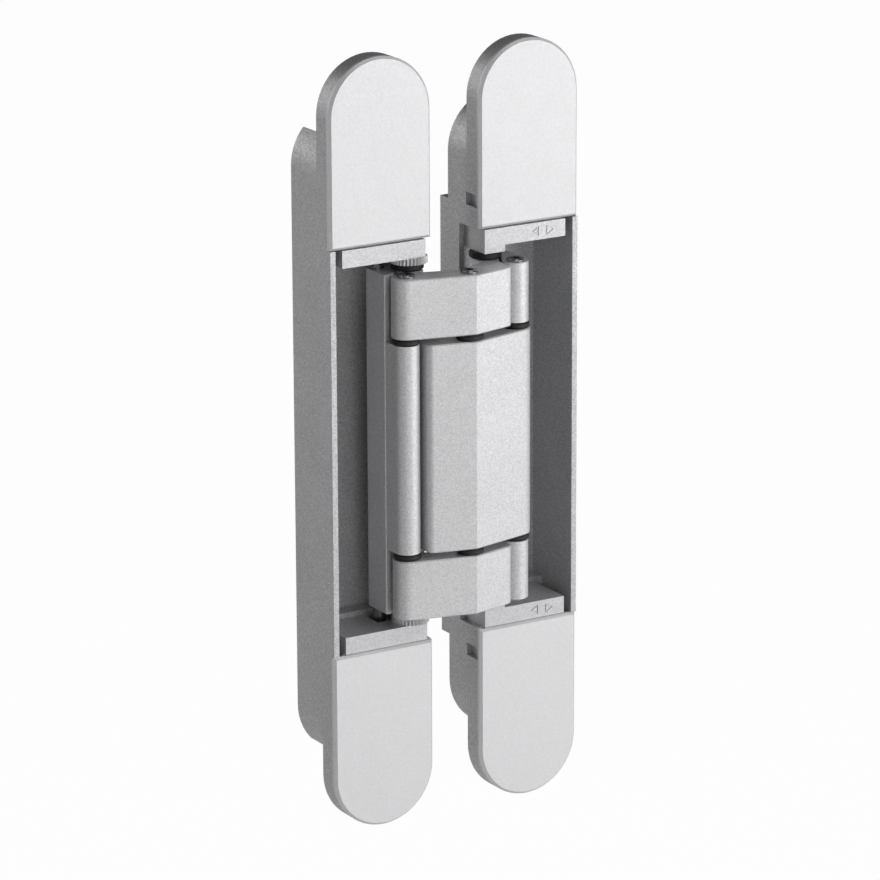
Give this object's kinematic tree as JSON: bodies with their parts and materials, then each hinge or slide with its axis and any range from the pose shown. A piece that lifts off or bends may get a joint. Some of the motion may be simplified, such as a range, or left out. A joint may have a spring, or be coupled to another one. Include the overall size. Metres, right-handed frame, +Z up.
{
  "type": "concealed door hinge",
  "caption": "Concealed door hinge with two round-ended leaves, pocketed housings, adjustable carriers, cover plates and a crossing double-arm linkage.",
  "frame": {"origin": "middle of the gap between the two leaf faces, at half height, on the plane of the faces", "axes": "+X from the frame leaf to the door leaf, +Y into the wood, +Z up along the long side of the leaves"},
  "size_m": [0.0884, 0.0367, 0.245],
  "materials": {
    "housing_silver": "satin silver with fine metallic grain",
    "cover_silver": "satin silver with fine metallic grain",
    "carrier_silver": "satin silver",
    "arm_silver": "satin silver with fine metallic grain",
    "pin_steel": "turned",
    "screw_steel": "zinc plated",
    "washer_black": "matt black"
  },
  "bodies": {
    "frame_leaf": {"frame_housing": "housing_silver", "frame_cover_top": "cover_silver", "frame_cover_bottom": "cover_silver", "frame_carrier_top": "carrier_silver", "frame_carrier_bottom": "carrier_silver", "frame_pivot_pin": "pin_steel", "frame_pivot_washers": "washer_black", "frame_adjusting_discs": "pin_steel", "frame_clamp_screws": "screw_steel", "frame_side_screws": "screw_steel"},
    "frame_arm": {"frame_arm": "arm_silver", "centre_washers": "washer_black", "door_link_washers": "washer_black"},
    "door_arm": {"door_arm": "arm_silver", "centre_pin": "pin_steel", "frame_link_pin": "pin_steel"},
    "frame_link": {"frame_link": "arm_silver", "frame_link_washers": "washer_black", "frame_guide_studs": "pin_steel"},
    "door_link": {"door_link": "arm_silver", "door_link_pin": "pin_steel", "door_guide_studs": "pin_steel"},
    "door_leaf": {"door_housing": "housing_silver", "door_cover_top": "cover_silver", "door_cover_bottom": "cover_silver", "door_carrier_top": "carrier_silver", "door_carrier_bottom": "carrier_silver", "door_pivot_pin": "pin_steel", "door_pivot_washers": "washer_black", "door_clamp_screws": "screw_steel", "door_side_screws": "screw_steel"}
  },
  "joints": [
    {"name": "frame_pivot", "type": "hinge", "parent": "frame_leaf", "child": "frame_arm", "pos_m": [-0.014, 0.0056, 0], "axis": [0, 0, 1], "range_deg": [-112, 0]},
    {"name": "centre_pivot", "type": "hinge", "parent": "frame_arm", "child": "door_arm", "pos_m": [0, -0.008, 0], "axis": [0, 0, 1], "range_deg": [0, 45.6]},
    {"name": "door_pivot", "type": "hinge", "parent": "door_arm", "child": "door_leaf", "pos_m": [0.014, 0.0056, 0], "axis": [0, 0, 1], "range_deg": [-112.01, 0]},
    {"name": "frame_link_pivot", "type": "hinge", "parent": "door_arm", "child": "frame_link", "pos_m": [-0.0196, -0.003, 0], "axis": [0, 0, 1], "range_deg": [-42.24, 0]},
    {"name": "door_link_pivot", "type": "hinge", "parent": "frame_arm", "child": "door_link", "pos_m": [0.0196, -0.003, 0], "axis": [0, 0, 1], "range_deg": [0, 42.24]}
  ],
  "couplings": [
    {"joint": "centre_pivot", "follows": "frame_pivot", "ratio": -0.40708},
    {"joint": "door_pivot", "follows": "frame_pivot", "ratio": 1},
    {"joint": "frame_link_pivot", "follows": "frame_pivot", "ratio": 0.37708},
    {"joint": "door_link_pivot", "follows": "frame_pivot", "ratio": -0.37708}
  ]
}
